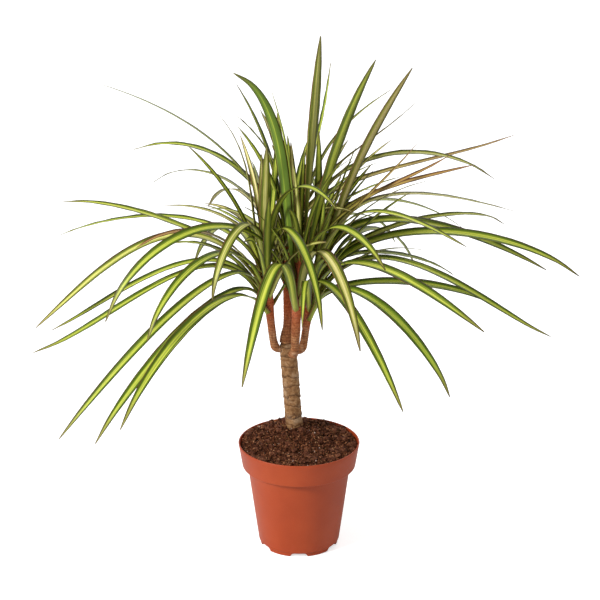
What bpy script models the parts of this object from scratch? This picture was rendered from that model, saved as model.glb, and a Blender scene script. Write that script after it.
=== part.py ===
"""A young dragon tree (Dracaena marginata) in its plastic nursery pot, in metres, +Z up.

The pot stands on its foot ring at z = 0 with its axis on the Z axis. The potting mix fills it, a
cane is planted in the mix, four shoots rise from the top of the cane, and each shoot carries a
crown of long narrow leaves. Every leaf is a channelled blade of its own, seated on its shoot.
"""

import itertools
import math

import bmesh
import bpy
import numpy as np
from mathutils.bvhtree import BVHTree

MM = 0.001
UP = np.array([0.0, 0.0, 1.0])
GAP = 0.35 * MM  # between pieces that touch
SHARP_ANGLE = math.radians(40)

# Pot: a thin turned shell with a wide rim band, and six arched notches in its foot ring.
POT_SIDES = 72
POT_HEIGHT = 108 * MM
RIM_RADIUS = 60 * MM
BAND_HEIGHT = 24 * MM
BAND_LOWER_RADIUS = 56.3 * MM
SHOULDER_RADIUS = 51 * MM
HEEL_RADIUS = 40.3 * MM
FOOT_RADIUS = 38.8 * MM
FOOT_HEIGHT = 5 * MM
FLOOR_RISE = 4.2 * MM  # underside of the floor above the table
WALL = 1.2 * MM
PLATFORM_RADIUS = 17 * MM  # the raised middle of the floor
PLATFORM_RISE = 2 * MM
NOTCH_COUNT = 6
NOTCH_WIDTH = 17 * MM
NOTCH_HEIGHT = 3.6 * MM
DRAIN_RADIUS = 4.5 * MM
DRAIN_CIRCLE = 28 * MM
DRAIN_SIDES = 14

# Potting mix: its level at the wall in front, how much higher it lies at the back, and the mound round the cane.
MIX_SIDES = 40
MIX_LEVEL = 104.3 * MM
BACK_RISE = 2.2 * MM
MOUND_HEIGHT = 11 * MM
MOUND_SPREAD = 27 * MM
MIX_RELIEF = 0.7 * MM

# Cane: planted behind the middle of the pot and leaning a little to the left. Points in millimetres.
CANE_SIDES = 18
CANE_ROUTE = ((-3.5, 19, 58), (-4, 19, 105), (-6, 18, 135), (-8, 17, 165), (-10, 16, 190), (-10.5, 16, 206))
CANE_RADIUS = 8.4 * MM
CANE_SWELL = 1.03  # the cane thickens a little under its shoots
CANE_BURIED = 112 * MM  # below this height the cane is plain
SCAR_PITCH = 10.5 * MM
SCAR_DEPTH = 0.4 * MM

# Shoots: the route of each in millimetres up to its growing tip, the height of its lowest leaf in
# millimetres, the radius of its bare stem in millimetres, and how many millimetres higher each next
# leaf sits. The back shoot stands on the cane's top, and the others leave its side in an elbow.
SHOOT_SIDES = 12
SHOOT_RINGS = 13
ELBOW_RINGS = 5
ELBOW_RADIUS = 4.3 * MM
SHEATH_RADIUS = 5.2 * MM  # leaf sheaths thicken the shoot above its lowest leaf
TIP_RADIUS = 2 * MM
TOP_SHOOT = "back"
TOP_SHOOT_FOOT = 7 * MM  # its radius where it grows out of the cane's top
SHOOTS = {
    "left": (((-24.2, 13, 206), (-25.6, 12, 214), (-28.3, 10, 240), (-31, 8, 272), (-34, 6, 312)), 240, 3.9, 4.3),
    "front": (((-4.2, 2.4, 203.5), (-3.6, 2, 212), (-2.2, 2, 246), (0, -1, 282), (1.5, -5, 318)), 246, 4.6, 5.6),
    "back": (
        ((-12.5, 18, 206.35), (-12.5, 20, 213), (-11, 23, 227), (-11, 28, 258), (-9, 33, 295), (-6, 38, 334)),
        256,
        4.3,
        5.2,
    ),
    "right": (((4.2, 17.3, 203.5), (5.6, 16, 212), (8, 13.5, 231), (13, 10.5, 265), (19, 8, 302)), 231, 3.8, 4.7),
}

# Leaf blades.
LEAF_RINGS = 9
LEAF_THICKNESS = 0.9 * MM
LEAF_FOLD = 0.12  # how far the edges stand above the midrib, as a share of the width
WIDTH_ALONG = ((0, 0.56), (0.06, 0.6), (0.2, 0.86), (0.4, 1), (0.62, 0.9), (0.78, 0.66), (0.9, 0.38), (1, 0.12))
CLEARANCE = 0.25 * MM  # kept between blades
TURNS = (0, 2, -2, 4, -4, 7, -7, 10, -10)  # degrees about the shoot
TILTS = (0, 3, -3, 6, -6, 10, -10)  # degrees of launch
BOWS = (0, 5, -5, 10, -10, 16, -16, 23, -23)  # millimetres sideways at the middle
SWIVELS = (0, 25, -25, 50, -50, 75, -75)  # degrees of the seat alone round the shoot
STEEPEST = 88  # degrees of launch

# Colours in sRGB hex, and roughness. Leaves run from the first colour at the foot of a crown to the second.
POT_FINISH = ("#B4532E", 0.42)
MIX_FINISH = ("#3A2219", 0.95)
CANE_FINISH = ("#94704F", 0.8)
SHOOT_FINISH = ("#A0563A", 0.75)
LEAF_FINISH = ("#6F9A2B", 0.38)
YOUNG_LEAF_FINISH = ("#A9C43A", 0.38)

# Each leaf, from the lowest on its shoot up: tip in millimetres, launch and landing angles above the
# horizon in degrees, the curve's two handles as shares of the distance from seat to tip, roll of the
# blade in degrees and its full width in millimetres.
LEAVES = {
    "left": (
        ((-159, -180, 199), 58, -50, 0.36, 0.38, -20, 12),
        ((-185, -150, 172), 78, -50, 0.33, 0.30, -25, 12),
        ((-261, 15, 196), 64, -18, 0.45, 0.34, -30, 11),
        ((-222, -120, 163), 82, -44, 0.40, 0.36, -30, 11),
        ((-110, 186, 232), 68, -55, 0.50, 0.40, 10, 11),
        ((-245, 40, 210), 58, -28, 0.42, 0.32, -25, 11),
        ((-137, -130, 264), 66, -68, 0.60, 0.34, -20, 11),
        ((-258, 20, 220), 56, -43, 0.57, 0.40, -35, 13),
        ((-150, -60, 330), 62, -25, 0.42, 0.40, -15, 9),
        ((-230, 50, 340), 34, -10, 0.24, 0.30, -20, 9),
        ((-245, 110, 285), 66, -27, 0.31, 0.40, -10, 10),
        ((21, -140, 279), 80, -78, 0.60, 0.50, 0, 11),
        ((-80, -80, 285), 86, -80, 0.90, 0.55, -15, 11),
        ((-75, 20, 435), 75, 48, 0.33, 0.38, 20, 9),
        ((35, -90, 375), 80, -30, 0.60, 0.40, 10, 10),
        ((-30, -20, 415), 84, 80, 0.36, 0.36, 0, 11),
    ),
    "front": (
        ((-50, -185, 242), 70, -48, 0.68, 0.46, 0, 13),
        ((93, -170, 212), 68, -45, 0.46, 0.38, 15, 11),
        ((54, -175, 272), 72, -60, 0.66, 0.40, 10, 13),
        ((-178, -90, 268), 82, -70, 0.66, 0.46, -35, 12),
        ((78, -110, 325), 80, -40, 0.66, 0.42, 15, 12),
        ((140, -30, 410), 80, 36, 0.45, 0.32, 20, 10),
        ((-60, -20, 485), 82, 25, 0.36, 0.28, 70, 13),
        ((70, -30, 500), 77, 62, 0.36, 0.36, -50, 13),
        ((165, -10, 395), 62, 15, 0.38, 0.36, 20, 9),
        ((-25, -10, 465), 86, 74, 0.45, 0.45, 0, 11),
        ((20, 0, 515), 86, 86, 0.50, 0.42, -75, 14),
    ),
    "back": (
        ((100, 165, 260), 72, -60, 0.50, 0.40, 0, 11),
        ((-95, 188, 292), 72, -50, 0.50, 0.40, 10, 11),
        ((20, 188, 302), 74, -60, 0.55, 0.40, 0, 12),
        ((170, 130, 285), 74, -40, 0.50, 0.40, 10, 10),
        ((-190, 60, 455), 84, 16, 0.41, 0.38, 10, 9),
        ((-160, 60, 390), 84, -23, 0.45, 0.40, -15, 10),
        ((-145, 100, 345), 80, -40, 0.50, 0.40, 10, 10),
        ((190, 40, 365), 83, -40, 0.54, 0.38, 20, 10),
        ((90, 80, 445), 79, 26, 0.48, 0.40, -10, 9),
        ((210, 60, 405), 42, 20, 0.33, 0.38, 10, 9),
        ((-60, 60, 455), 80, 55, 0.38, 0.38, 10, 11),
        ((110, 10, 450), 72, 46, 0.45, 0.42, -10, 11),
        ((30, 40, 480), 78, 84, 0.50, 0.42, 10, 12),
    ),
    "right": (
        ((136, -150, 218), 70, -62, 0.52, 0.24, 25, 12),
        ((167, -130, 273), 84, -22, 0.55, 0.28, 25, 13),
        ((195, 20, 240), 65, -46, 0.24, 0.24, 30, 12),
        ((239, -40, 234), 60, -18, 0.52, 0.24, 25, 11),
        ((200, 40, 320), 45, -48, 0.37, 0.22, 15, 10),
        ((265, -30, 291), 66, -40, 0.38, 0.29, 30, 13),
        ((155, 60, 260), 66, -40, 0.32, 0.42, 15, 10),
        ((240, 20, 280), 80, -32, 0.54, 0.27, 30, 13),
        ((120, 150, 240), 68, -60, 0.50, 0.40, 10, 11),
        ((153, -90, 340), 78, -18, 0.58, 0.48, 15, 9),
        ((215, 100, 315), 82, -20, 0.50, 0.42, 10, 9),
        ((110, -10, 415), 58, 52, 0.36, 0.30, 15, 9),
        ((105, 0, 485), 68, 58, 0.36, 0.42, -65, 12),
    ),
}


def unit(v):
    return v / np.linalg.norm(v)


def direction(heading, climb):
    """The unit vector with a heading about +Z in radians and a climb above the horizon in degrees."""
    rise = math.radians(climb)
    return np.array([math.cos(heading) * math.cos(rise), math.sin(heading) * math.cos(rise), math.sin(rise)])


def smooth_curve(points, count):
    """count points along a smooth curve through the given points."""
    knots = np.asarray(points, float)
    padded = np.vstack([2 * knots[0] - knots[1], knots, 2 * knots[-1] - knots[-2]])
    places = []
    for at in np.linspace(0, len(knots) - 1, count):
        i = min(int(at), len(knots) - 2)
        t = at - i
        a, b, c, d = padded[i : i + 4]
        square, cube = 2 * a - 5 * b + 4 * c - d, 3 * b - a - 3 * c + d
        places.append(0.5 * (2 * b + (c - a) * t + square * t**2 + cube * t**3))
    return np.array(places)


def at_height(route, height):
    """The point of a rising route at that height."""
    return np.array([np.interp(height, route[:, 2], route[:, k]) for k in range(3)])


def shoot_route(name):
    return smooth_curve(np.array(SHOOTS[name][0]) * MM, 60)


def seat_height(name, order):
    _, lowest, _, pitch = SHOOTS[name]
    return (lowest + pitch * order) * MM


def shoot_radius(name, height):
    """Radius of a shoot: a swollen foot, the bare stem, the leaf sheaths, the growing tip."""
    points, lowest, bare, _ = SHOOTS[name]
    start, top = points[0][2], points[-1][2]
    foot = TOP_SHOOT_FOOT if name == TOP_SHOOT else ELBOW_RADIUS
    heights = (start, start + 3, start + 14, lowest - 6, lowest + 14, top - 24, top)
    radii = (foot, foot * 0.9, bare * MM, bare * MM, SHEATH_RADIUS, SHEATH_RADIUS * 0.8, TIP_RADIUS)
    return float(np.interp(height / MM, heights, radii))


def leaf_line(axis_point, seat_radius, tip, launch, landing, near, far, turn, bow, swivel):
    """Points down the middle of a leaf, from its seat to its tip, and its headings at the two ends."""
    out = np.array(tip) - axis_point
    heading = math.atan2(out[1], out[0]) + math.radians(turn)
    run = math.hypot(out[0], out[1])
    end = axis_point + np.array([run * math.cos(heading), run * math.sin(heading), out[2]])
    leaving = heading + math.radians(swivel)
    seat = axis_point + seat_radius * direction(leaving, 0)
    reach = np.linalg.norm(end - seat)
    aside = bow * np.array([-math.sin(heading), math.cos(heading), 0.0])
    handles = (
        seat,
        seat + near * reach * direction(leaving, launch) + aside / 2,
        end - far * reach * direction(heading, landing) + aside * 1.5,
        end,
    )
    t = np.linspace(0, 1, LEAF_RINGS + 1)[:, None]
    weights = ((1 - t) ** 3, 3 * t * (1 - t) ** 2, 3 * t**2 * (1 - t), t**3)
    return sum(w * h for w, h in zip(weights, handles)), (leaving, heading)


def along(points):
    """Share of the length at each point."""
    lengths = np.concatenate([[0], np.cumsum(np.linalg.norm(np.diff(points, axis=0), axis=1))])
    return lengths / lengths[-1]


def tangents(points):
    ahead = np.vstack([points[1:], points[-1:] * 2 - points[-2:-1]])
    behind = np.vstack([points[:1] * 2 - points[1:2], points[:-1]])
    return np.array([unit(v) for v in ahead - behind])


def leaf_blade(line, headings, roll, width, grow=0.0):
    """Vertices and faces of a blade: a four-cornered channelled section down the line, drawn to a point."""
    share, ways = along(line), tangents(line)
    vertices = []
    for k in range(LEAF_RINGS):
        turned = min(share[k] / 0.65, 1.0)
        heading = headings[0] + (headings[1] - headings[0]) * turned * turned * (3 - 2 * turned)
        side = np.array([-math.sin(heading), math.cos(heading), 0.0])
        side = unit(side - ways[k] * (side @ ways[k]))
        lean = math.radians(roll) * math.sin(math.pi / 2 * share[k])
        side = side * math.cos(lean) + np.cross(ways[k], side) * math.sin(lean)
        face = np.cross(ways[k], side)
        wide = width * float(np.interp(share[k], *zip(*WIDTH_ALONG))) / 2 + grow
        thick = LEAF_THICKNESS * (1 - 0.45 * share[k]) / 2 + grow
        rise = 2 * LEAF_FOLD * wide * (1 - 0.5 * share[k])
        edge, rib = side * wide, face * thick
        vertices += [line[k] + edge + face * rise, line[k] + rib, line[k] - edge + face * rise, line[k] - rib]
    vertices.append(line[-1])
    faces = [(0, 1, 3), (1, 2, 3)]
    for left in range(0, 4 * (LEAF_RINGS - 1), 4):
        for edge in (left, left + 2):
            for middle in (left + 1, left + 3):
                # the same diagonal above and below, so that a twisted blade keeps its thickness
                strip = [(edge, edge + 4, middle + 4), (edge, middle + 4, middle)]
                faces += strip if (middle - edge) % 4 == 1 else [face[::-1] for face in strip]
    last = 4 * (LEAF_RINGS - 1)
    faces += [(last + i, last + 4, last + (i + 1) % 4) for i in range(4)]
    return vertices, faces


def loft(rings, first_middle=None):
    """Vertices and faces of a closed body through rings of equal count, its ends closed by fans.

    Each fan meets in the middle of its ring, or the first in first_middle.
    """
    count = len(rings[0])
    last = (len(rings) - 1) * count
    vertices = [v for ring in rings for v in ring]
    vertices.append(np.mean(rings[0], axis=0) if first_middle is None else first_middle)
    vertices.append(np.mean(rings[-1], axis=0))
    faces = []
    for i in range(count):
        after = (i + 1) % count
        faces += [(a + i, a + after, a + count + after, a + count + i) for a in range(0, last, count)]
        faces.append((after, i, last + count))
        faces.append((last + i, last + after, last + count + 1))
    return vertices, faces


def tube_rings(middles, ways, radii, sides):
    """Rings of a round stem, square to its ways, each turned as little as can be from the one before."""
    rings = []
    aside = np.cross(ways[0], UP) if abs(ways[0][2]) < 0.7 else np.array([-1.0, 0.0, 0.0])
    angles = np.arange(sides) * 2 * math.pi / sides
    for middle, way, radius in zip(middles, ways, radii):
        aside = unit(aside - way * (aside @ way))
        other = np.cross(way, aside)
        rings.append([middle + radius * (aside * math.cos(a) + other * math.sin(a)) for a in angles])
    return rings


def circle(radius, height, sides, centre=(0.0, 0.0)):
    angles = np.arange(sides) * 2 * math.pi / sides
    x, y = centre
    return [np.array([x + radius * math.cos(a), y + radius * math.sin(a), height]) for a in angles]


def linear(code):
    """Linear colour with alpha, from an sRGB hex value."""
    parts = [int(code[i : i + 2], 16) / 255 for i in (1, 3, 5)]
    return [c / 12.92 if c <= 0.04045 else ((c + 0.055) / 1.055) ** 2.4 for c in parts] + [1.0]


def add_object(name, vertices, faces, finish, origin=(0.0, 0.0, 0.0), young=0.0):
    """A smooth-shaded object with its origin and its own material, whose colour moves to a young leaf's."""
    mesh = bpy.data.meshes.new(name)
    mesh.from_pydata([tuple(v - np.array(origin)) for v in vertices], [], faces)
    work = bmesh.new()
    work.from_mesh(mesh)
    bmesh.ops.recalc_face_normals(work, faces=work.faces)
    work.to_mesh(mesh)
    work.free()
    mesh.polygons.foreach_set("use_smooth", [True] * len(mesh.polygons))
    mesh.set_sharp_from_angle(angle=SHARP_ANGLE)
    material = bpy.data.materials.new(name)
    material.use_nodes = True
    shader = material.node_tree.nodes["Principled BSDF"]
    first, second = np.array(linear(finish[0])), np.array(linear(YOUNG_LEAF_FINISH[0]))
    shader.inputs["Base Color"].default_value = first + (second - first) * young
    shader.inputs["Roughness"].default_value = finish[1]
    shader.inputs["Metallic"].default_value = 0.0
    mesh.materials.append(material)
    thing = bpy.data.objects.new(name, mesh)
    thing.location = origin
    bpy.context.scene.collection.objects.link(thing)
    return thing


def notch_lift(angle):
    """How far the foot ring is cut away above the table at that angle round the pot."""
    between = 2 * math.pi / NOTCH_COUNT
    off = (angle + math.pi / 2 + between / 2) % between - between / 2  # one notch faces the front
    half = NOTCH_WIDTH / 2 / FOOT_RADIUS
    return NOTCH_HEIGHT * math.sqrt(max(0.0, 1 - (off / half) ** 4)) if abs(off) < half else 0.0


def pot():
    inner_shoulder = POT_HEIGHT - BAND_HEIGHT + WALL
    slope = (SHOULDER_RADIUS - HEEL_RADIUS) / (POT_HEIGHT - BAND_HEIGHT - FOOT_HEIGHT)
    floor_top = FLOOR_RISE + WALL
    profile = (
        (PLATFORM_RADIUS, FLOOR_RISE + PLATFORM_RISE),
        (PLATFORM_RADIUS + 2 * MM, FLOOR_RISE),
        (FOOT_RADIUS - 2 * WALL, FLOOR_RISE),
        (FOOT_RADIUS - 1.6 * WALL, 0),
        (FOOT_RADIUS - 0.3 * MM, 0),
        (FOOT_RADIUS, 0.4 * MM),
        (FOOT_RADIUS, FOOT_HEIGHT - 1.2 * MM),
        (HEEL_RADIUS, FOOT_HEIGHT),
        (SHOULDER_RADIUS - 0.4 * MM, POT_HEIGHT - BAND_HEIGHT - 0.6 * MM),
        (SHOULDER_RADIUS + 0.6 * MM, POT_HEIGHT - BAND_HEIGHT),
        (BAND_LOWER_RADIUS - 0.7 * MM, POT_HEIGHT - BAND_HEIGHT),
        (BAND_LOWER_RADIUS, POT_HEIGHT - BAND_HEIGHT + 0.7 * MM),
        (RIM_RADIUS - 0.1 * MM, POT_HEIGHT - 1 * MM),
        (RIM_RADIUS - 0.3 * MM, POT_HEIGHT - 0.25 * MM),
        (RIM_RADIUS - 0.75 * MM, POT_HEIGHT),
        (RIM_RADIUS - WALL - 0.1 * MM, POT_HEIGHT - 0.5 * MM),
        (BAND_LOWER_RADIUS - WALL, inner_shoulder + 0.5 * MM),
        (BAND_LOWER_RADIUS - WALL - 0.5 * MM, inner_shoulder),
        (SHOULDER_RADIUS - WALL + 0.4 * MM, inner_shoulder),
        (SHOULDER_RADIUS - WALL - slope * 2 * MM, inner_shoulder - 1 * MM),
        (HEEL_RADIUS - WALL + slope * (floor_top - FOOT_HEIGHT), floor_top),
        (PLATFORM_RADIUS + 2 * MM, floor_top),
        (PLATFORM_RADIUS, floor_top + PLATFORM_RISE),
    )
    rings = []
    for radius, height in profile:
        ring = circle(radius, height, POT_SIDES)
        if height < 1 * MM:
            for k, place in enumerate(ring):
                place[2] = max(height, notch_lift(k * 2 * math.pi / POT_SIDES))
        rings.append(ring)
    body = add_object("pot", *loft(rings), POT_FINISH)
    cut = body.modifiers.new("drains", "BOOLEAN")
    cut.operation, cut.solver, cut.object = "DIFFERENCE", "EXACT", drain_pins()
    return body


def drain_pins():
    """The pins that the drain holes are cut with, one object that isn't rendered."""
    vertices, faces = [], []
    for k in range(NOTCH_COUNT):
        angle = -math.pi / 2 + k * 2 * math.pi / NOTCH_COUNT
        centre = (DRAIN_CIRCLE * math.cos(angle), DRAIN_CIRCLE * math.sin(angle))
        heights = (FLOOR_RISE - 2 * MM, FLOOR_RISE + 4 * MM)
        more, more_faces = loft([circle(DRAIN_RADIUS, z, DRAIN_SIDES, centre) for z in heights])
        faces += [tuple(i + len(vertices) for i in face) for face in more_faces]
        vertices += more
    pins = add_object("drain_pins", vertices, faces, POT_FINISH)
    pins.hide_render = True
    pins.display_type = "WIRE"
    return pins


def mix_level(x, y):
    """Height of the mix's surface: level at the wall, mounded round the cane, a little uneven."""
    foot = at_height(np.array(CANE_ROUTE) * MM, MIX_LEVEL)
    away = math.hypot(x - foot[0], y - foot[1])
    uneven = math.sin(x / MM * 0.31 + 1.3) * math.sin(y / MM * 0.27 + 0.4) + 0.6 * math.sin((x - y) / MM * 0.19)
    wall = MIX_LEVEL + BACK_RISE * (1 + y / RIM_RADIUS) / 2
    return wall + MOUND_HEIGHT * math.exp(-((away / MOUND_SPREAD) ** 2)) + MIX_RELIEF * uneven


def potting_mix():
    shoulder = POT_HEIGHT - BAND_HEIGHT + WALL
    floor_top = FLOOR_RISE + WALL
    slope = (SHOULDER_RADIUS - HEEL_RADIUS) / (POT_HEIGHT - BAND_HEIGHT - FOOT_HEIGHT)
    wall = (
        (PLATFORM_RADIUS + 0.2 * MM, floor_top + PLATFORM_RISE + GAP),
        (PLATFORM_RADIUS + 2.3 * MM, floor_top + GAP),
        (HEEL_RADIUS - WALL - GAP, floor_top + GAP),
        (SHOULDER_RADIUS - WALL - slope * 3 * MM - GAP, shoulder - 1.2 * MM),
        (SHOULDER_RADIUS - WALL - GAP, shoulder + GAP),
        (BAND_LOWER_RADIUS - WALL - 0.5 * MM - GAP, shoulder + GAP),
    )
    rings = [circle(radius, height, MIX_SIDES) for radius, height in wall]
    flare = (RIM_RADIUS - BAND_LOWER_RADIUS) / BAND_HEIGHT
    edge_radius = BAND_LOWER_RADIUS + flare * (MIX_LEVEL - shoulder) - WALL - 0.5 * MM
    outer = circle(edge_radius, MIX_LEVEL, MIX_SIDES)
    route = smooth_curve(np.array(CANE_ROUTE) * MM, 60)
    hole_top = at_height(route, MIX_LEVEL + MOUND_HEIGHT)[:2]
    hole = circle(CANE_RADIUS + GAP + 0.15 * MM, MIX_LEVEL, MIX_SIDES, hole_top)
    for step in (0, 0.12, 0.3, 0.5, 0.7, 0.87, 1):
        ring = [a + (b - a) * step for a, b in zip(outer, hole)]
        for place in ring:
            place[2] = mix_level(place[0], place[1]) + (-0.8 * MM if step == 0 else 0)
        rings.append(ring)
    for height in (105 * MM, 90 * MM, 76 * MM, route[0][2] - GAP):
        rings.append(circle(CANE_RADIUS + GAP + 0.15 * MM, height, MIX_SIDES, at_height(route, height)[:2]))
    return add_object("potting_mix", *loft(rings), MIX_FINISH)


def cane():
    route = smooth_curve(np.array(CANE_ROUTE) * MM, 60)
    stations = [(route[0][2], 0.97), (route[0][2] + 1 * MM, 1.0), (CANE_BURIED, 1.0)]
    scar = CANE_BURIED + 4 * MM
    k = 0
    while scar < route[-1][2] - 6 * MM:
        depth = SCAR_DEPTH / CANE_RADIUS
        stations += [(scar - 1.1 * MM, 1.0), (scar, 1 - depth), (scar + 1.3 * MM, 1 + 0.6 * depth)]
        scar += SCAR_PITCH * (1 + 0.16 * math.sin(2.4 * k))
        k += 1
    stations += [(route[-1][2] - 3 * MM, CANE_SWELL), (route[-1][2] - 0.8 * MM, 0.97), (route[-1][2], 0.8)]
    middles = np.array([at_height(route, z) for z, _ in stations])
    ways = tangents(middles)
    ways[0] = ways[-1] = UP
    rings = tube_rings(middles, ways, [CANE_RADIUS * share for _, share in stations], CANE_SIDES)
    return add_object("cane", *loft(rings), CANE_FINISH, middles[0])


def cane_axis(height):
    return at_height(smooth_curve(np.array(CANE_ROUTE) * MM, 60), height)


def seated_on_cane(ring, way):
    """The ring of a side shoot moved along its direction until every point stands just off the cane."""
    moved = []
    for place in ring:
        flat = (place - cane_axis(place[2]))[:2]
        a, b = way[:2] @ way[:2], 2 * flat @ way[:2]
        c = flat @ flat - (CANE_RADIUS * CANE_SWELL + GAP) ** 2
        moved.append(place + way * (-b + math.sqrt(max(b * b - 4 * a * c, 0))) / (2 * a))
    return moved


def shoot(name):
    route = shoot_route(name)
    index = np.linspace(0, 1, SHOOT_RINGS) * (len(route) - 1)
    middles = np.array([[np.interp(i, range(len(route)), route[:, k]) for k in range(3)] for i in index])
    radii = [shoot_radius(name, z) for z in middles[:, 2]]
    ways = tangents(middles)
    ways[0] = UP
    if name == TOP_SHOOT:
        rings = tube_rings(middles, ways, radii, SHOOT_SIDES)
        return add_object("shoot_" + name, *loft(rings), SHOOT_FINISH, middles[0])
    out = middles[0] - cane_axis(middles[0][2])
    bend = np.linalg.norm(out) - CANE_RADIUS * CANE_SWELL - GAP  # radius of the elbow's middle line
    out = unit(out)
    turns = np.linspace(0, math.pi / 2, ELBOW_RINGS)[:-1]
    elbow = [middles[0] + bend * (out * (math.sin(a) - 1) + UP * -math.cos(a)) for a in turns]
    elbow_ways = [out * math.cos(a) + UP * math.sin(a) for a in turns]
    radii = [ELBOW_RADIUS] * len(elbow) + radii
    rings = tube_rings([*elbow, *middles], [*elbow_ways, *ways], radii, SHOOT_SIDES)
    rings[0] = seated_on_cane(rings[0], out)
    seat_middle = seated_on_cane(elbow[:1], out)[0]
    return add_object("shoot_" + name, *loft(rings, seat_middle), SHOOT_FINISH, elbow[0])


def tree_of(thing):
    """A search tree of the object's faces, for finding what crosses them."""
    places = [tuple(v.co + thing.location) for v in thing.data.vertices]
    return BVHTree.FromPolygons(places, [tuple(p.vertices) for p in thing.data.polygons])


def effort(change):
    """How far a change takes a leaf from its own place."""
    turn, tilt, bow, swivel = map(abs, change)
    return 1.6 * turn + tilt + 0.8 * bow + 0.12 * swivel


def clear_place(name, order, placed, changes):
    """Vertices and faces of a leaf, turned and tilted by the least that keeps it clear of what stands."""
    tip, launch, landing, near, far, roll, width = LEAVES[name][order]
    height = seat_height(name, order)
    axis_point = at_height(shoot_route(name), height)
    seat_radius = shoot_radius(name, height) + GAP + LEAF_THICKNESS / 2
    curve = (landing, near, far)
    for turn, tilt, bow, swivel in changes:
        steep = min(launch + tilt, STEEPEST)
        way = (turn, bow * MM, swivel)
        line, headings = leaf_line(axis_point, seat_radius, np.array(tip) * MM, steep, *curve, *way)
        fat, faces = leaf_blade(line, headings, roll, width * MM, CLEARANCE)
        trial = BVHTree.FromPolygons([tuple(v) for v in fat], faces)
        if not any(trial.overlap(other) for other in placed):
            return leaf_blade(line, headings, roll, width * MM)
    raise ValueError(f"leaf {order + 1} of the {name} shoot has no clear place")


def leaves(placed):
    """Every leaf, from the foot of each crown up."""
    changes = sorted(itertools.product(TURNS, TILTS, BOWS, SWIVELS), key=effort)
    for name, rows in LEAVES.items():
        for order in range(len(rows)):
            vertices, faces = clear_place(name, order, placed, changes)
            seat = np.mean(vertices[:4], axis=0)
            young = order / len(rows)
            blade = add_object(f"leaf_{name}_{order + 1:02d}", vertices, faces, LEAF_FINISH, seat, young)
            placed.append(tree_of(blade))


def build():
    for thing in list(bpy.data.objects):
        bpy.data.objects.remove(thing, do_unlink=True)
    pieces = [pot(), potting_mix(), cane()] + [shoot(name) for name in SHOOTS]
    leaves([tree_of(piece) for piece in pieces])


if __name__ == "__main__":
    build()
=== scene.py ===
"""Looks of a young dragon tree in a moulded nursery pot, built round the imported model."""

import math

import bmesh
import bpy
import numpy as np
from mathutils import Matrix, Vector, noise
from mathutils.bvhtree import BVHTree


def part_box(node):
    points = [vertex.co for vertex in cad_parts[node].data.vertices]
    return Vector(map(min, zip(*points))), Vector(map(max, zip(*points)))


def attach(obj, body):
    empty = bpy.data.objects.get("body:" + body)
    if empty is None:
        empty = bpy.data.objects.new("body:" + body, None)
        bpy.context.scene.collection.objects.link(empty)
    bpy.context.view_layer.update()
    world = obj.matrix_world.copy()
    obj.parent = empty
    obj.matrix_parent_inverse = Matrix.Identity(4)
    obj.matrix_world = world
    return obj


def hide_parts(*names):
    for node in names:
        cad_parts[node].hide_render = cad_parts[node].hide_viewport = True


MM = 0.001
UP = np.array([0.0, 0.0, 1.0])

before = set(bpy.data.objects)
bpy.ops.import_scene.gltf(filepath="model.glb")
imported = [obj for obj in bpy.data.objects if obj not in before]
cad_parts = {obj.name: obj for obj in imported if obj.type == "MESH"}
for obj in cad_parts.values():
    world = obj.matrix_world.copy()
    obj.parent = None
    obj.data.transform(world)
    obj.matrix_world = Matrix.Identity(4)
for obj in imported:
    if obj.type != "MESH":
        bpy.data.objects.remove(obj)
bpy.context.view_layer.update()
scene = bpy.context.scene
scene.view_settings.view_transform = "Standard"


# ---------------------------------------------------------------- small tools


def ink(code):
    """Linear colour with alpha, from an sRGB hex value."""
    parts = [int(code[i : i + 2], 16) / 255 for i in (1, 3, 5)]
    return tuple(c / 12.92 if c <= 0.04045 else ((c + 0.055) / 1.055) ** 2.4 for c in parts) + (1.0,)


def set_inputs(tree, node, inputs):
    """Gives each input of a node, by name or by order, its value or its link."""
    for name, value in inputs.items() if isinstance(inputs, dict) else enumerate(inputs):
        if isinstance(value, bpy.types.NodeSocket):
            tree.links.new(value, node.inputs[name])
        else:
            node.inputs[name].default_value = value


def add_node(tree, kind, inputs=(), output=0, stops=(), **settings):
    """One output of a new shader node with these inputs, settings and, on a ramp, (place, hex) stops."""
    node = tree.nodes.new("ShaderNode" + kind)
    for name, value in settings.items():
        setattr(node, name, value)
    for count, (place, code) in enumerate(stops):
        marks = node.color_ramp.elements
        mark = marks[count] if count < len(marks) else marks.new(place)
        mark.position = place
        mark.color = ink(code)
    set_inputs(tree, node, inputs)
    return node.outputs[output]


def new_material(name, roughness, ior, sheen):
    """A material, its node tree and its Principled shader."""
    material = bpy.data.materials.new(name)
    material.use_nodes = True
    tree = material.node_tree
    shader = tree.nodes["Principled BSDF"]
    set_inputs(tree, shader, {"Roughness": roughness, "IOR": ior, "Specular IOR Level": sheen})
    return material, tree, shader


def unit(v):
    return v / np.linalg.norm(v)


def outward_mesh(name, vertices, faces):
    """A mesh with all its faces turned outward."""
    mesh = bpy.data.meshes.new(name)
    mesh.from_pydata([tuple(v) for v in vertices], [], faces)
    work = bmesh.new()
    work.from_mesh(mesh)
    bmesh.ops.recalc_face_normals(work, faces=work.faces)
    work.to_mesh(mesh)
    work.free()
    return mesh


def add_piece(name, vertices, faces, material, slot, nodes=(), smooth=True):
    """A mesh piece of the plant that rides on the root body and stands for CAD nodes."""
    mesh = outward_mesh(name, vertices, faces)
    mesh.polygons.foreach_set("use_smooth", [smooth] * len(mesh.polygons))
    mesh.materials.append(material)
    piece = bpy.data.objects.new(name, mesh)
    scene.collection.objects.link(piece)
    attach(piece, "root")
    if nodes:
        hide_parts(*nodes)
    return piece


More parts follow.
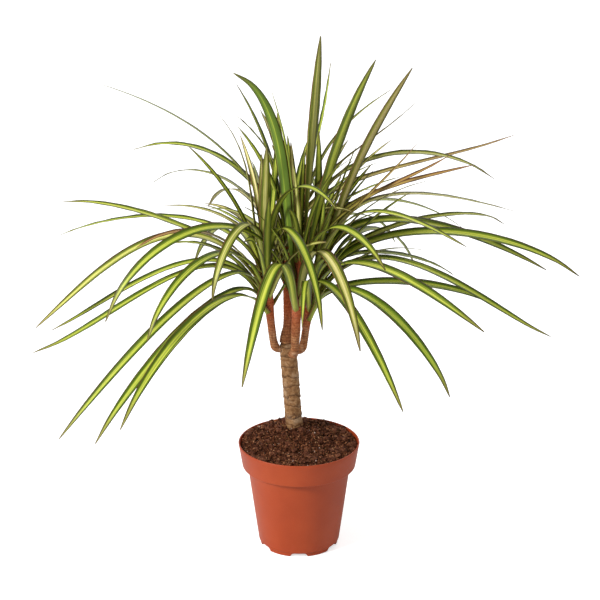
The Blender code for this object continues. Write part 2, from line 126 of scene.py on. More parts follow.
def apply_modifiers(piece):
    bpy.context.view_layer.update()
    graph = bpy.context.evaluated_depsgraph_get()
    made = bpy.data.meshes.new_from_object(piece.evaluated_get(graph))
    piece.modifiers.clear()
    old, piece.data = piece.data, made
    bpy.data.meshes.remove(old)


def loft(rings):
    """Vertices and faces of a closed body through rings of equal count."""
    count = len(rings[0])
    vertices = [v for ring in rings for v in ring]
    faces = []
    for k in range(len(rings) - 1):
        a, b = k * count, (k + 1) * count
        faces += [(a + i, a + (i + 1) % count, b + (i + 1) % count, b + i) for i in range(count)]
    faces.append(tuple(range(count))[::-1])
    faces.append(tuple(range((len(rings) - 1) * count, len(rings) * count)))
    return vertices, faces


def join(bodies):
    """Vertices and faces of many bodies as one mesh."""
    vertices, faces = [], []
    for more, more_faces in bodies:
        faces += [tuple(i + len(vertices) for i in face) for face in more_faces]
        vertices += more
    return vertices, faces


def circle(radius, height, sides):
    angles = np.arange(sides) * 2 * math.pi / sides
    return [np.array([radius * math.cos(a), radius * math.sin(a), height]) for a in angles]


def mesh_of(node):
    """Merged vertices, and the faces by index, of a CAD node."""
    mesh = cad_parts[node].data
    places = np.empty(len(mesh.vertices) * 3)
    mesh.vertices.foreach_get("co", places)
    places = places.reshape(-1, 3)
    _, first, index = np.unique(np.round(places, 6), axis=0, return_index=True, return_inverse=True)
    faces = [tuple(int(i) for i in index.reshape(-1)[list(p.vertices)]) for p in mesh.polygons]
    return places[first], faces


def tree_of(vertices, faces):
    return BVHTree.FromPolygons([tuple(v) for v in vertices], faces)


# ---------------------------------------------------------------- finishes

# A common blade, whose width and length turn the sizes of its pattern into shares of it.
BLADE_WIDTH = 11.2 * MM
BLADE_LENGTH = 250 * MM

# Colours from the middle of a blade to its edge.
LIME_BAND = (
    (0.0, "#D2D65A"), (0.24, "#BEC744"), (0.38, "#96A432"),
    (0.5, "#526612"), (0.8, "#384608"), (0.96, "#503412"),
)
CREAM_BAND = (
    (0.0, "#EBDCA2"), (0.3, "#DCCA80"), (0.44, "#B4A84C"),
    (0.56, "#626416"), (0.82, "#4C440E"), (0.96, "#84422A"),
)
GREEN_BAND = (
    (0.0, "#A2B23A"), (0.1, "#769222"), (0.24, "#4E7412"),
    (0.6, "#3E600E"), (0.9, "#2C4408"), (0.97, "#48340E"),
)
CLASPING_BASE = ((0.0, "#B9B45A"), (0.55, "#8E9A38"), (0.8, "#8A5030"), (1.0, "#7B3220"))
DRIED_BAND = ((0.0, "#AC7C50"), (0.5, "#7C4A30"), (0.9, "#4E261C"))


def streaks(tree, across, share, seed, width, run):
    """Noise drawn out down a blade: how wide a streak is, and how far it runs."""
    wide = add_node(tree, "Math", (across, BLADE_WIDTH / width), operation="MULTIPLY")
    long = add_node(tree, "Math", (share, BLADE_LENGTH / run), operation="MULTIPLY")
    place = add_node(tree, "CombineXYZ", (wide, long, seed))
    return add_node(tree, "TexNoise", {"Vector": place, "Scale": 1.0, "Detail": 3.0})


def blade_finish():
    """Fresh waxy dracaena leaf: a soft sheen, a bright band, dark borders and a thin russet margin."""
    material, tree, shader = new_material("waxy_dracaena_leaf", 0.42, 1.4, 0.3)
    uv = add_node(tree, "UVMap", uv_map="blade")
    across = add_node(tree, "SeparateXYZ", (uv,), "X")
    share = add_node(tree, "SeparateXYZ", (uv,), "Y")
    tone = add_node(tree, "Attribute", (), "Fac", attribute_name="tone")
    dry = add_node(tree, "Attribute", (), "Fac", attribute_name="dry")
    under = add_node(tree, "Attribute", (), "Fac", attribute_name="under")
    seed = add_node(tree, "Math", (tone, 40.0), operation="MULTIPLY")
    signed = add_node(tree, "Math", (across, 2.0, -1.0), operation="MULTIPLY_ADD")
    off_middle = add_node(tree, "Math", (signed,), operation="ABSOLUTE")
    drift = streaks(tree, across, share, seed, 2.24 * MM, 42 * MM)
    sway = add_node(tree, "Math", (drift, 0.5, -0.25), operation="MULTIPLY_ADD")
    stripe = add_node(tree, "Math", (off_middle, sway), operation="ADD")
    # The blade's fine lines are about 0.3 mm apart, and are drawn 0.7 mm apart so that they show.
    lines = streaks(tree, across, share, seed, 0.7 * MM, 250 * MM)
    flecks = streaks(tree, across, share, seed, 1.6 * MM, 100 * MM)
    edge = add_node(tree, "Math", (drift, 0.12, off_middle), operation="MULTIPLY_ADD")
    outer = add_node(tree, "MapRange", (share, 0.1, 0.7))
    lime = add_node(tree, "ValToRGB", (stripe,), stops=LIME_BAND)
    cream = add_node(tree, "ValToRGB", (stripe,), stops=CREAM_BAND)
    green = add_node(tree, "ValToRGB", (stripe,), stops=GREEN_BAND)
    dried = add_node(tree, "ValToRGB", (stripe,), stops=DRIED_BAND)
    clasp = add_node(tree, "ValToRGB", (off_middle,), stops=CLASPING_BASE)
    coats = (
        (add_node(tree, "MapRange", (tone, 0.42, 0.12)), cream),
        (add_node(tree, "MapRange", (tone, 0.76, 0.92)), green),
        (add_node(tree, "MapRange", (lines, 0.44, 0.6, 0.0, 0.65)), ink("#44580E")),
        (add_node(tree, "MapRange", (flecks, 0.6, 0.7, 0.0, 0.5)), ink("#C9CF62")),
        (add_node(tree, "MapRange", (edge, 0.93, 1.0, 0.0, 0.85)), ink("#5A2A18")),
        (add_node(tree, "MapRange", (share, 0.13, 0.02, 0.0, 0.85)), clasp),
        (add_node(tree, "MapRange", (share, 0.86, 1.0, 0.0, 0.8)), ink("#5E4630")),
        (add_node(tree, "Math", (dry, outer), operation="MULTIPLY"), dried),
        (add_node(tree, "Math", (under, 0.3), operation="MULTIPLY"), ink("#76803A")),
    )
    colour = lime
    for cover, coat in coats:
        colour = add_node(tree, "Mix", {0: cover, 6: colour, 7: coat}, 2, data_type="RGBA")
    normal = add_node(tree, "Bump", {"Height": lines, "Distance": 0.25 * MM, "Strength": 0.5})
    set_inputs(tree, shader, {"Base Color": colour, "Normal": normal})
    return material


def pot_finish():
    """Polypropylene moulded in terracotta orange: an even satin skin with a faint swirl and pale scuffs."""
    material, tree, shader = new_material("moulded_polypropylene", 0.42, 1.49, 0.28)
    place = add_node(tree, "TexCoord", (), "Object")
    swirl = add_node(tree, "TexNoise", {"Vector": place, "Scale": 1 / (45 * MM), "Detail": 4.0})
    skin = add_node(tree, "ValToRGB", (swirl,), stops=((0.3, "#9A3C1A"), (0.5, "#A1401C"), (0.75, "#A84620")))
    scuffs = add_node(tree, "TexNoise", {"Vector": place, "Scale": 1 / (1.1 * MM), "Detail": 2.0})
    pale = add_node(tree, "MapRange", (scuffs, 0.66, 0.74, 0.0, 0.2))
    colour = add_node(tree, "Mix", {0: pale, 6: skin, 7: ink("#B05E3C")}, 2, data_type="RGBA")
    rough = add_node(tree, "MapRange", (swirl, 0.0, 1.0, 0.36, 0.5))
    # The mould's grain is finer than 0.2 mm, and is drawn 0.8 mm across so that it shows.
    grain = add_node(tree, "TexNoise", {"Vector": place, "Scale": 1 / (0.8 * MM), "Detail": 1.0})
    normal = add_node(tree, "Bump", {"Height": grain, "Distance": 0.06 * MM, "Strength": 1.0})
    set_inputs(tree, shader, {"Base Color": colour, "Roughness": rough, "Normal": normal})
    return material


def crumb_finish(name, roughness, grain, stops):
    """Loose matter of the potting mix, dull and uneven: its colour changes over the width of a grain."""
    material, tree, shader = new_material(name, roughness, 1.45, 0.2)
    place = add_node(tree, "TexCoord", (), "Object")
    patch = add_node(tree, "TexNoise", {"Vector": place, "Scale": 1 / grain, "Detail": 5.0, "Roughness": 0.7})
    colour = add_node(tree, "ValToRGB", (patch,), stops=stops)
    normal = add_node(tree, "Bump", {"Height": patch, "Distance": 0.6 * MM, "Strength": 1.0})
    set_inputs(tree, shader, {"Base Color": colour, "Normal": normal})
    return material


def bark_finish(name, stops, pale_code, dark_code, scar_spacing, ruddy=None):
    """Young dracaena bark, dry and papery: dark scars round it, pale patches between, ruddy near its top."""
    material, tree, shader = new_material(name, 0.78, 1.45, 0.2)
    place = add_node(tree, "TexCoord", (), "Object")
    height = add_node(tree, "SeparateXYZ", (place,), "Z")
    waver = add_node(tree, "TexNoise", {"Vector": place, "Scale": 1 / (11 * MM), "Detail": 3.0})
    wavy = add_node(tree, "Math", (waver, scar_spacing * 1.3, height), operation="MULTIPLY_ADD")
    turns = add_node(tree, "Math", (wavy, scar_spacing), operation="DIVIDE")
    turn = add_node(tree, "Math", (turns,), operation="FRACT")
    spots = add_node(tree, "TexNoise", {"Vector": place, "Scale": 1 / (4.8 * MM), "Detail": 4.0})
    fibre = {"Vector": place, "Scale": 1 / (2.4 * MM), "Detail": 6.0, "Roughness": 0.65}
    grain = add_node(tree, "TexNoise", fibre)
    colour = add_node(tree, "ValToRGB", (grain,), stops=stops)
    coats = [
        (add_node(tree, "MapRange", (waver, 0.52, 0.68, 0.0, 0.7)), ink(pale_code)),
        (add_node(tree, "MapRange", (spots, 0.52, 0.66, 0.0, 0.6)), ink(dark_code)),
        (add_node(tree, "MapRange", (turn, 0.26, 0.0, 0.0, 0.8)), ink("#3E2214")),
    ]
    if ruddy:
        skin = add_node(tree, "ValToRGB", (grain,), stops=((0.3, "#8A3418"), (0.6, "#C65C32")))
        coats.append((add_node(tree, "MapRange", (height, *ruddy, 0.0, 0.7)), skin))
    for cover, coat in coats:
        colour = add_node(tree, "Mix", {0: cover, 6: colour, 7: coat}, 2, data_type="RGBA")
    normal = add_node(tree, "Bump", {"Height": grain, "Distance": 1.2 * MM, "Strength": 1.0})
    set_inputs(tree, shader, {"Base Color": colour, "Normal": normal})
    return material


# ---------------------------------------------------------------- pot

POT_SIDES = 192
NOTCH_COUNT = 6
NOTCH_WIDTH = 17 * MM
NOTCH_HEIGHT = 3.6 * MM
WALL = 1.2 * MM
FLOOR = 4.2 * MM
FOOT_STEP = 5 * MM
DISC = 17 * MM
DISC_RISE = 2 * MM
DRAIN_CIRCLE = 28 * MM
DRAIN_RADIUS = 4.5 * MM
DRAIN_SIDES = 28


def arc(centre, radius, start, stop, steps):
    """Points of a circular arc in the profile's plane, angles in degrees."""
    angles = np.radians(np.linspace(start, stop, steps))
    return [(centre[0] + radius * math.cos(a), centre[1] + radius * math.sin(a)) for a in angles]


def straight(start, stop, steps):
    """Points between two corners of the profile, without the corners."""
    return [tuple(a + (b - a) * k / steps for a, b in zip(start, stop)) for k in range(1, steps)]


def pot(finish):
    """The pot turned from one profile: foot ring, tapered wall, ledge, deep rim band and the inside."""
    low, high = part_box("pot")
    rim, top = (high.x - low.x) / 2, high.z
    band, shoulder, heel, foot = rim * 0.938, rim * 0.85, rim * 0.672, rim * 0.647
    ledge = top * 0.778
    inner = ledge + WALL
    outside = [(foot - 2 * WALL, FLOOR), (foot - 1.6 * WALL, 0.3 * MM), (foot - 1.3 * WALL, 0)]
    outside += arc((foot - 0.5 * MM, 0.5 * MM), 0.5 * MM, -90, 0, 4) + [(foot, FOOT_STEP - 1.6 * MM)]
    outside += arc((heel - 0.9 * MM, FOOT_STEP + 0.2 * MM), 0.9 * MM, -40, 0, 4)
    outside += straight((heel, FOOT_STEP), (shoulder, ledge), 6)
    outside += arc((shoulder + 1.0 * MM, ledge - 1.0 * MM), 1.0 * MM, 172, 92, 5)
    outside += arc((band - 0.9 * MM, ledge + 0.9 * MM), 0.9 * MM, -88, 0, 5)
    outside += straight((band, ledge + 1 * MM), (rim - 0.1 * MM, top - 0.6 * MM), 4)
    outside += arc((rim - 0.75 * MM, top - 0.75 * MM), 0.75 * MM, 0, 180, 9)
    inside = [
        (band - WALL + 0.2 * MM, inner + 0.8 * MM),
        (band - WALL - 0.4 * MM, inner),
        (shoulder - WALL + 0.4 * MM, inner),
        (shoulder - WALL - 0.3 * MM, inner - 1.2 * MM),
        (heel - WALL, FLOOR + WALL),
        (DISC + 2 * MM, FLOOR + WALL),
        (DISC, FLOOR + WALL + DISC_RISE),
    ]
    profile = [(DISC, FLOOR + DISC_RISE), (DISC + 2 * MM, FLOOR)] + outside + inside
    rings = []
    for radius, height in profile:
        ring = circle(radius, height, POT_SIDES)
        if height < 1 * MM:
            for k, place in enumerate(ring):
                place[2] = max(height, notch_lift(k * 2 * math.pi / POT_SIDES, foot))
        rings.append(ring)
    body = add_piece("pot_shell", *loft(rings), finish, "pot_plastic", ["pot"])
    drain_holes(body)
    body.data.set_sharp_from_angle(angle=math.radians(38))


def notch_lift(angle, foot):
    """How far the foot ring is cut away above the table at that angle round the pot."""
    between = 2 * math.pi / NOTCH_COUNT
    off = (angle + math.pi / 2 + between / 2) % between - between / 2
    half = NOTCH_WIDTH / 2 / foot
    return NOTCH_HEIGHT * math.sqrt(max(0.0, 1 - (off / half) ** 4)) if abs(off) < half else 0.0


def drain_holes(body):
    """Round holes through the floor, one in line with each notch."""
    pins = []
    for k in range(NOTCH_COUNT):
        angle = -math.pi / 2 + k * 2 * math.pi / NOTCH_COUNT
        middle = np.array([DRAIN_CIRCLE * math.cos(angle), DRAIN_CIRCLE * math.sin(angle), 0])
        ends = (FLOOR - 2 * MM, FLOOR + 4 * MM)
        pins.append(loft([[middle + v for v in circle(DRAIN_RADIUS, z, DRAIN_SIDES)] for z in ends]))
    cutter = bpy.data.objects.new("drains", outward_mesh("drains", *join(pins)))
    scene.collection.objects.link(cutter)
    cut = body.modifiers.new("drains", "BOOLEAN")
    cut.operation, cut.object = "DIFFERENCE", cutter
    apply_modifiers(body)
    bpy.data.objects.remove(cutter, do_unlink=True)


# ---------------------------------------------------------------- potting mix

MIX_SIDES = 150
UNEVENNESS = 0.28


def mix_surface():
    """The height of the mix's surface at (x, y), from its CAD solid, with the crumbs' own unevenness."""
    solid = tree_of(*mesh_of("potting_mix"))
    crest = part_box("potting_mix")[1].z
    high = crest + 0.05

    def height(x, y, rough=1.0):
        hit = solid.ray_cast(Vector((x, y, high)), Vector((0, 0, -1)))[0]
        level = hit.z if hit is not None and hit.z > 0.1 else crest
        lumps = noise.noise(Vector((x, y, 0)) * 130) * 2.2 + noise.noise(Vector((x, y, 0.3)) * 420) * 1.0
        return level + rough * lumps * MM

    return height


def mix_radius():
    low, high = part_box("potting_mix")
    return (high.x - low.x) / 2


def mix_body(surface, finish):
    """The mix as one body: the pot's inside below, an uneven crust above."""
    edge = mix_radius()
    inside = ((0.36, 8), (0.66, 6), (0.84, 83), (0.94, 86), (0.99, 98))
    rings = [circle(share * edge, height * MM, MIX_SIDES) for share, height in inside]
    for share in np.concatenate([[0.995], np.linspace(0.985, 0.02, 46)]):
        ring = circle(share * edge, 0, MIX_SIDES)
        for place in ring:
            place[2] = surface(place[0], place[1]) - (1.5 * MM if share > 0.99 else 0)
        rings.append(ring)
    add_piece("peat_mix", *loft(rings), finish, "potting_mix", ["potting_mix"])


def crumbs(name, surface, finish, count, sizes, flatness, lift, rng):
    """Loose grains lying on the mix, each a small uneven stone shape, made as one piece."""
    stone = bmesh.new()
    bmesh.ops.create_icosphere(stone, subdivisions=2 if count < 400 else 1, radius=1.0)
    shape = np.array([v.co for v in stone.verts])
    cells = [tuple(v.index for v in f.verts) for f in stone.faces]
    stone.free()
    edge = mix_radius()
    bodies = []
    for _ in range(count):
        away, angle = edge * 0.985 * math.sqrt(rng.random()), rng.random() * 2 * math.pi
        x, y = away * math.cos(angle), away * math.sin(angle)
        size = (sizes[0] + (sizes[1] - sizes[0]) * rng.random() ** 2) * MM / 2
        stretch = np.array([1.0, 0.55 + 0.45 * rng.random(), flatness * (0.7 + 0.6 * rng.random())])
        turned = rotation(rng.normal(size=3))
        body = shape * (1 + UNEVENNESS * rng.normal(size=(len(shape), 1))) * stretch * size
        if flatness < 0.5:
            turned = rotation(UP + 0.35 * rng.normal(size=3))
        place = np.array([x, y, surface(x, y) + lift * size])
        bodies.append((list(body @ turned.T + place), cells))
    add_piece(name, *join(bodies), finish, "potting_mix", smooth=False)


def rotation(up):
    """A rotation matrix whose third column is that direction."""
    third = unit(np.asarray(up, float))
    first = unit(np.cross(third, [0.3, 0.8, 0.52]))
    return np.column_stack([first, np.cross(third, first), third])


def fibres(surface, finish, count, rng):
    """Straw and root fibres lying on the mix, a few standing up out of it."""
    edge = mix_radius()
    bodies = []
    for k in range(count):
        away, angle = edge * 0.9 * math.sqrt(rng.random()), rng.random() * 2 * math.pi
        middle = np.array([away * math.cos(angle), away * math.sin(angle), 0])
        way, length = rng.random() * 2 * math.pi, (4 + 13 * rng.random() ** 2) * MM
        bend, thick = rng.normal() * 0.6, (0.12 + 0.2 * rng.random() ** 2) * MM
        rings = []
        for t in np.linspace(-0.5, 0.5, 7):
            heading = way + bend * t
            spot = middle + length * t * np.array([math.cos(heading), math.sin(heading), 0])
            if math.hypot(spot[0], spot[1]) > edge * 0.97:
                spot[:2] *= edge * 0.97 / math.hypot(spot[0], spot[1])
            spot[2] = surface(spot[0], spot[1]) + 0.5 * MM + (2.2 * MM * (t + 0.5) if k % 7 == 0 else 0)
            across = np.array([-math.sin(heading), math.cos(heading), 0])
            turns = np.arange(5) * 2 * math.pi / 5
            rings.append([spot + thick * (across * math.cos(a) + UP * math.sin(a)) for a in turns])
        bodies.append(loft(rings))
    add_piece("straw_fibres", *join(bodies), finish, "potting_mix")


# ---------------------------------------------------------------- cane and shoots

CANE_SCARS = 10.5 * MM
SHOOT_SCARS = 2.7 * MM


def scar_lip(turn):
    """A leaf scar's section over one spacing: a groove at each end, and a lip just above the lower one."""
    grooves = math.exp(-((turn - 0.02) / 0.05) ** 2) + math.exp(-((turn - 1.02) / 0.05) ** 2)
    return math.exp(-((turn - 0.16) / 0.09) ** 2) - 1.3 * grooves


def bark_piece(name, node, finish, slot, voxel, spacing, depth, roughness):
    """The CAD stem remeshed fine, then ringed with leaf scars and roughened in its surface."""
    vertices, faces = mesh_of(node)
    piece = add_piece(name, vertices, faces, finish, slot, [node])
    melt = piece.modifiers.new("fine", "REMESH")
    melt.mode, melt.voxel_size, melt.use_smooth_shade = "VOXEL", voxel, True
    soften = piece.modifiers.new("soften", "SMOOTH")
    soften.iterations, soften.factor = 4, 0.5
    apply_modifiers(piece)
    mesh = piece.data
    places = np.empty(len(mesh.vertices) * 3)
    normals = np.empty(len(mesh.vertices) * 3)
    mesh.vertices.foreach_get("co", places)
    mesh.vertices.foreach_get("normal", normals)
    places, normals = places.reshape(-1, 3), normals.reshape(-1, 3)
    moved = []
    for place, normal in zip(places, normals):
        at = Vector(place)
        waver = noise.noise(at * 60) * spacing * 0.5
        turn = ((place[2] + waver) / spacing) % 1.0
        skin = noise.noise(at * 260) * 0.6 + noise.noise(at * 700) * 0.4
        side = math.sqrt(max(0.0, 1 - normal[2] ** 2))
        moved.append(place + normal * (scar_lip(turn) * depth * side + skin * roughness))
    mesh.vertices.foreach_set("co", np.array(moved).ravel())
    mesh.materials.clear()
    mesh.materials.append(finish)
    mesh.polygons.foreach_set("use_smooth", [True] * len(mesh.polygons))
    mesh.update()


# ---------------------------------------------------------------- leaves

STATIONS = 34
POINTS_ACROSS = 9
GOLDEN_ANGLE = math.radians(137.5)
INNER_TRIALS = 9
INNER_LEAVES = 15
HIGHEST_INNER_TIP = 440 * MM
LOWEST_INNER_TIP = 285 * MM

# The tone of leaves that differ from the common striped one, and how dry each of them is.
# A tone of 0 is cream, 0.5 is lime and 1 is green.
TONES = {
    "leaf_front_01": (0.62, 0),
    "leaf_front_07": (0.97, 0),
    "leaf_right_01": (0.82, 0),
    "leaf_right_03": (0.8, 0),
    "leaf_right_13": (0.16, 0.3),
    "leaf_front_08": (0.55, 0),
    "leaf_back_02": (0.2, 0.2),
    "leaf_left_14": (0.25, 0.2),
    "leaf_back_10": (0.2, 0.6),
    "leaf_right_12": (0.3, 0.6),
    "leaf_front_06": (0.4, 0.8),
    "leaf_front_09": (0.4, 0.8),
    "leaf_left_09": (0.3, 0.8),
    "leaf_back_12": (0.12, 0.35),
    "leaf_front_11": (0.24, 0),
    "leaf_front_03": (0.2, 0),
}


def rings_of(node):
    """The four-cornered sections of a CAD blade from base to tip, and its tip.

    They are the corners met at each step along the edges from the tip. A corner of the base can pass for
    the tip, so the corner whose sections are the smallest is taken.
    """
    vertices, faces = mesh_of(node)
    near = [set() for _ in vertices]
    for face in faces:
        for i in face:
            near[i].update(face)
    found = []
    for tip in range(len(vertices)):
        level, seen, levels = {tip}, {tip}, []
        while level:
            levels.append(sorted(level))
            level = set().union(*(near[i] for i in level)) - seen
            seen |= level
        if all(len(ring) == 4 for ring in levels[1:]):
            spans = sum(np.ptp(vertices[ring], axis=0).sum() for ring in levels[1:])
            found.append((spans, tip, levels))
    _, tip, levels = min(found)
    return [vertices[found] for found in levels[:0:-1]], vertices[tip]


def line_of(node):
    """Points down the middle of a CAD blade with its side and face directions and half widths."""
    rings, tip = rings_of(node)
    middles, sides, ups, halves = [], [], [], []
    for ring in rings:
        gaps = [(np.linalg.norm(ring[a] - ring[b]), a, b) for a in range(4) for b in range(a)]
        _, a, b = max(gaps)
        rest = [ring[i] for i in range(4) if i not in (a, b)]
        edge_middle = (ring[a] + ring[b]) / 2
        rest.sort(key=lambda v: np.linalg.norm(v - edge_middle))
        side = unit(ring[a] - ring[b])
        if sides and side @ sides[-1] < 0:
            side = -side
        middles.append((rest[0] + rest[1]) / 2)
        sides.append(side)
        ups.append(unit(rest[0] - rest[1]))
        halves.append(np.linalg.norm(ring[a] - ring[b]) / 2)
    middles.append(tip)
    sides.append(sides[-1])
    ups.append(ups[-1])
    halves.append(0.0)
    return np.array(middles), np.array(sides), np.array(ups), np.array(halves)


def spread(values, at):
    """Values resampled on a smooth curve through them, at places counted in their own steps."""
    padded = np.vstack([2 * values[0] - values[1], values, 2 * values[-1] - values[-2]])
    out = []
    for place in at:
        i = min(int(place), len(values) - 2)
        t = place - i
        a, b, c, d = padded[i : i + 4]
        square, cube = 2 * a - 5 * b + 4 * c - d, 3 * b - a - 3 * c + d
        out.append(0.5 * (2 * b + (c - a) * t + square * t**2 + cube * t**3))
    return np.array(out)


def width_along(share):
    """Share of a blade's full width: clasping at the base, widest before the middle, long in the tip."""
    places = (0, 0.03, 0.08, 0.2, 0.4, 0.6, 0.76, 0.88, 0.96, 1)
    widths = (0.8, 0.7, 0.66, 0.82, 0.94, 0.9, 0.73, 0.5, 0.27, 0.08)
    return float(np.interp(share, places, widths))


def blade(middles, sides, ups, full_width, rng):
    """Vertices, faces, UVs and underside flags of a channelled blade with a rib, drawn to a fine tip."""
    count = len(middles)
    lengths = np.concatenate([[0], np.cumsum(np.linalg.norm(np.diff(middles, axis=0), axis=1))])
    shares = lengths / lengths[-1]
    ways = np.gradient(middles, axis=0)
    wave, phase = 0.25 * MM * rng.random(), rng.random() * 7
    rings, uvs, under = [], [], []
    across = np.linspace(-1, 1, POINTS_ACROSS)
    for k in range(count):
        way = unit(ways[k])
        side = unit(sides[k] - way * (sides[k] @ way))
        up = np.cross(way, side)
        if up @ ups[k] < 0:
            up = -up
        share = shares[k]
        half = full_width / 2 * width_along(share)
        clasp = max(0.0, 1 - share / 0.07)
        fold = 0.30 * (1 - 0.55 * share) + 0.55 * clasp
        thick = (0.5 * (1 - share) + 0.16) * MM
        ripple = wave * math.sin(share * 60 + phase)
        top = []
        for x in across:
            out = side * half * x * (1 - 0.25 * clasp * x * x)
            top.append(middles[k] + out + up * (fold * half * abs(x) ** 1.4 + ripple * x * abs(x)))
        rib = [
            p - up * thick * (0.28 + 0.5 * (1 - x * x) + 0.55 * math.exp(-((x / 0.16) ** 2)))
            for p, x in zip(top[1:-1], across[1:-1])
        ]
        rings.append(top + rib[::-1])
        places = [(x + 1) / 2 for x in across]
        uvs += [(p, share) for p in places + places[1:-1][::-1]]
        under += [0.0] * POINTS_ACROSS + [1.0] * (POINTS_ACROSS - 2)
    vertices, faces = loft(rings)
    return vertices, faces, uvs, under


def add_leaf(name, parts, finish, tone, dry, nodes=()):
    vertices, faces, uvs, under = parts
    piece = add_piece(name, vertices, faces, finish, "leaf_blade", nodes)
    mesh = piece.data
    layer = mesh.uv_layers.new(name="blade")
    for loop in mesh.loops:
        layer.data[loop.index].uv = uvs[loop.vertex_index]
    for label, values in (("under", under), ("tone", [tone] * len(vertices)), ("dry", [dry] * len(vertices))):
        mesh.attributes.new(label, "FLOAT", "POINT").data.foreach_set("value", values)
    return piece


def cad_leaves(finish, rng):
    """Every CAD blade made again as a fine one; returns the search trees of all of them."""
    placed = []
    for node in sorted(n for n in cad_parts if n.startswith("leaf_")):
        middles, sides, ups, halves = line_of(node)
        at = (np.linspace(0, 1, STATIONS) ** 1.15) * (len(middles) - 1)
        lines = (spread(values, at) for values in (middles, sides, ups))
        parts = blade(*lines, halves.max() * 2 * 1.02, rng)
        tone, dry = TONES.get(node, (0.2 + 0.6 * rng.random(), 0.0))
        add_leaf(node.replace("leaf_", "blade_"), parts, finish, tone, dry, [node])
        placed.append(tree_of(parts[0], parts[1]))
    return placed


def shoot_line(name):
    """Middle points of a shoot's upper part, from its CAD solid's sections by height."""
    vertices, _ = mesh_of("shoot_" + name)
    low, high = vertices[:, 2].min(), vertices[:, 2].max()
    heights = np.linspace(low + 25 * MM, high - 1 * MM, 9)
    levels = [vertices[abs(vertices[:, 2] - z) < 7 * MM] for z in heights]
    return np.array([np.append(level[:, :2].mean(axis=0), z) for level, z in zip(levels, heights)])


def bezier(points, count):
    t = np.linspace(0, 1, count)[:, None]
    weights = ((1 - t) ** 3, 3 * t * (1 - t) ** 2, 3 * t**2 * (1 - t), t**3)
    return sum(w * p for w, p in zip(weights, points))


def inner_leaves(finish, placed, rng):
    """Younger leaves that fill the crowns: a spiral up each shoot, steeper and shorter near its growing tip."""
    for name in ("left", "front", "back", "right"):
        line = shoot_line(name)
        for k in range(INNER_LEAVES):
            rise = k / (INNER_LEAVES - 1)
            height = line[0][2] + (0.28 + 0.7 * rise) * (line[-1][2] - line[0][2])
            axis = np.array([np.interp(height, line[:, 2], line[:, i]) for i in range(3)])
            best = None
            for trial in range(INNER_TRIALS):
                heading = GOLDEN_ANGLE * k + trial * 0.33 * (-1) ** trial + len(name)
                parts = inner_blade(axis, heading, rise, trial, rng)
                search = tree_of(parts[0], parts[1])
                tip = parts[0][-1][2]
                astray = max(0.0, LOWEST_INNER_TIP - tip) + max(0.0, tip - HIGHEST_INNER_TIP)
                faults = sum(len(search.overlap(other)) for other in placed) + astray / MM * 20
                if best is None or faults < best[0]:
                    best = (faults, parts, search)
                if faults == 0:
                    break
            _, parts, search = best
            add_leaf(f"inner_{name}_{k + 1:02d}", parts, finish, 0.05 + 0.8 * rng.random(), 0.0)
            placed.append(search)


def inner_blade(axis, heading, rise, trial, rng):
    """One inner leaf that leaves the shoot's axis with that heading; later trials hang less."""
    length = (195 - 85 * rise + 25 * rng.normal() - 4 * trial) * MM
    launch = math.radians(60 + 25 * rise + 5 * rng.normal())
    landing = math.radians(-42 + 100 * rise + 12 * rng.normal() + 5 * trial)
    out = np.array([math.cos(heading), math.sin(heading), 0])
    seat = axis + out * (4.6 - 2.6 * rise) * MM
    middle = (launch + landing) / 2
    corners = [seat]
    for share, climb in ((0.36, launch), (0.3, middle), (0.34, landing)):
        corners.append(corners[-1] + length * share * (out * math.cos(climb) + UP * math.sin(climb)))
    middles = bezier(corners, STATIONS)
    across = np.array([-out[1], out[0], 0])
    lean = 0.6 * rng.normal()
    sides = []
    for way, share in zip(np.gradient(middles, axis=0), np.linspace(0, 1, STATIONS)):
        sides.append(across * math.cos(lean * share) + np.cross(unit(way), across) * math.sin(lean * share))
    ups = [np.cross(unit(way), side) for way, side in zip(np.gradient(middles, axis=0), sides)]
    width = (6.4 + 3.0 * rng.random() - 1.0 * rise) * MM
    return blade(middles, np.array(sides), np.array(ups), width, rng)


# ---------------------------------------------------------------- stage


FLOOR_REACH = 30.0
SKY_LIGHT = 0.5
LENS = 121
CAMERA_DIP = 20
CAMERA_PLACE = (0.001, -1.827, 0.9215)
# Each lamp's name, place, size in metres and power in watts.
LAMPS = (
    ("key", (-2.0, -1.4, 1.7), 0.7, 90),
    ("fill", (1.8, -1.4, 0.9), 1.4, 2),
    ("back", (0.6, 2.0, 1.6), 1.2, 14),
)


def paper_floor():
    """White paper, matt: it takes the plant's shadow, and the camera sees it as white as the surround."""
    mesh = bpy.data.meshes.new("floor")
    corners = [(x * FLOOR_REACH, y * FLOOR_REACH, 0) for x, y in ((-1, -1), (1, -1), (1, 1), (-1, 1))]
    mesh.from_pydata(corners, [], [(0, 1, 2, 3)])
    floor = bpy.data.objects.new("floor", mesh)
    scene.collection.objects.link(floor)
    material, tree, shader = new_material("white_paper_floor", 0.9, 1.45, 0.0)
    set_inputs(tree, shader, {"Base Color": ink("#E7E7E7")})
    plain = shader.outputs[0]
    glow = add_node(tree, "Emission", {"Color": ink("#FFFFFF"), "Strength": 0.62})
    bright = add_node(tree, "AddShader", (plain, glow))
    seen = add_node(tree, "LightPath", (), "Is Camera Ray")
    surface = add_node(tree, "MixShader", (seen, plain, bright))
    set_inputs(tree, tree.nodes["Material Output"], {"Surface": surface})
    mesh.materials.append(material)


def white_surround():
    world = bpy.data.worlds.new("white_surround")
    scene.world = world
    world.use_nodes = True
    tree = world.node_tree
    seen = add_node(tree, "LightPath", (), "Is Camera Ray")
    strength = add_node(tree, "MapRange", (seen, 0.0, 1.0, SKY_LIGHT, 1.0))
    set_inputs(tree, tree.nodes["Background"], {"Color": ink("#FFFFFF"), "Strength": strength})


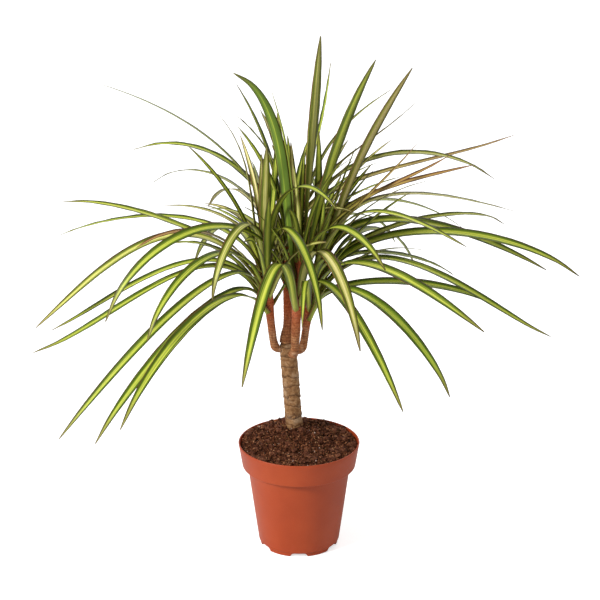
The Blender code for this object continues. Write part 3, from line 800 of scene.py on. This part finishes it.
def lamps_and_camera():
    middle = Vector((0, 0, 0.25))
    for name, place, size, power in LAMPS:
        lamp = bpy.data.lights.new(name, "AREA")
        lamp.size, lamp.energy = size, power
        lit = bpy.data.objects.new(name, lamp)
        lit.location = place
        lit.rotation_euler = (middle - Vector(place)).to_track_quat("-Z", "Y").to_euler()
        scene.collection.objects.link(lit)
    camera = bpy.data.cameras.new("camera")
    camera.sensor_width, camera.lens = 36, LENS
    eye = bpy.data.objects.new("camera", camera)
    eye.location = CAMERA_PLACE
    eye.rotation_euler = (math.radians(90 - CAMERA_DIP), 0, 0)
    scene.collection.objects.link(eye)
    scene.camera = eye


# ---------------------------------------------------------------- the whole

paper_floor()
white_surround()
lamps_and_camera()
pot(pot_finish())

rng = np.random.default_rng(7)
surface = mix_surface()
# Moist peat is dark brown, with painted shade near black in its pores, where its bump is lowest; it is pale
# brown where its top has dried.
PEAT_AND_PORE_SHADE = ((0.3, "#200E07"), (0.5, "#482412"), (0.6, "#7C482C"), (0.72, "#B48460"))
peat = crumb_finish("moist_peat_and_pore_shade", 0.9, 2.2 * MM, PEAT_AND_PORE_SHADE)
# Composted bark lies in flat dark chips, worn paler at their edges.
bark = crumb_finish("composted_bark", 0.85, 3.3 * MM, ((0.3, "#2E180E"), (0.5, "#5A301E"), (0.7, "#8E6044")))
# Expanded perlite shows as chalky white grains with a little peat on them.
white = crumb_finish("expanded_perlite", 0.95, 1.1 * MM, ((0.3, "#B88E7C"), (0.55, "#E0C8BC")))
# Coir pith is a dry, warm brown dust between the chips.
coir = crumb_finish("coir_pith", 0.9, 2 * MM, ((0.3, "#5A2E1A"), (0.5, "#946040"), (0.7, "#C89E7C")))
# Dry straw gives thin pale fibres.
straw = crumb_finish("dry_straw", 0.8, 5 * MM, ((0.35, "#6A4428"), (0.6, "#B48A5C")))
mix_body(surface, peat)
crumbs("peat_crumbs", surface, peat, 3000, (0.9, 4.2), 0.75, 0.45, rng)
crumbs("coir_crumbs", surface, coir, 900, (0.7, 3.4), 0.6, 0.6, rng)
crumbs("bark_chips", surface, bark, 390, (1.6, 7.5), 0.34, 0.5, rng)
crumbs("perlite_grains", surface, white, 130, (0.6, 1.7), 0.8, 0.6, rng)
fibres(surface, straw, 110, rng)

CANE_SKIN = ((0.3, "#76502F"), (0.5, "#A0764E"), (0.7, "#C49C74"))
cane_finish = bark_finish("dry_cane_bark", CANE_SKIN, "#CFAF8E", "#64401F", CANE_SCARS)
bark_piece("cane_bark", "cane", cane_finish, "cane_bark", 0.9 * MM, CANE_SCARS, 0.35 * MM, 0.45 * MM)
SHOOT_SKIN = ((0.3, "#844C2E"), (0.5, "#AC7248"), (0.7, "#C8946A"))
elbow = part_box("shoot_front")[0].z
ruddy_top = (elbow + 22 * MM, elbow + 48 * MM)
shoot_finish = bark_finish("young_shoot_bark", SHOOT_SKIN, "#C9A07E", "#743E24", SHOOT_SCARS, ruddy_top)
for name in ("left", "front", "back", "right"):
    node = "shoot_" + name
    bark_piece("bark_" + name, node, shoot_finish, "shoot_bark", 0.55 * MM, SHOOT_SCARS, 0.2 * MM, 0.2 * MM)

leaf_finish = blade_finish()
inner_leaves(leaf_finish, cad_leaves(leaf_finish, rng), rng)
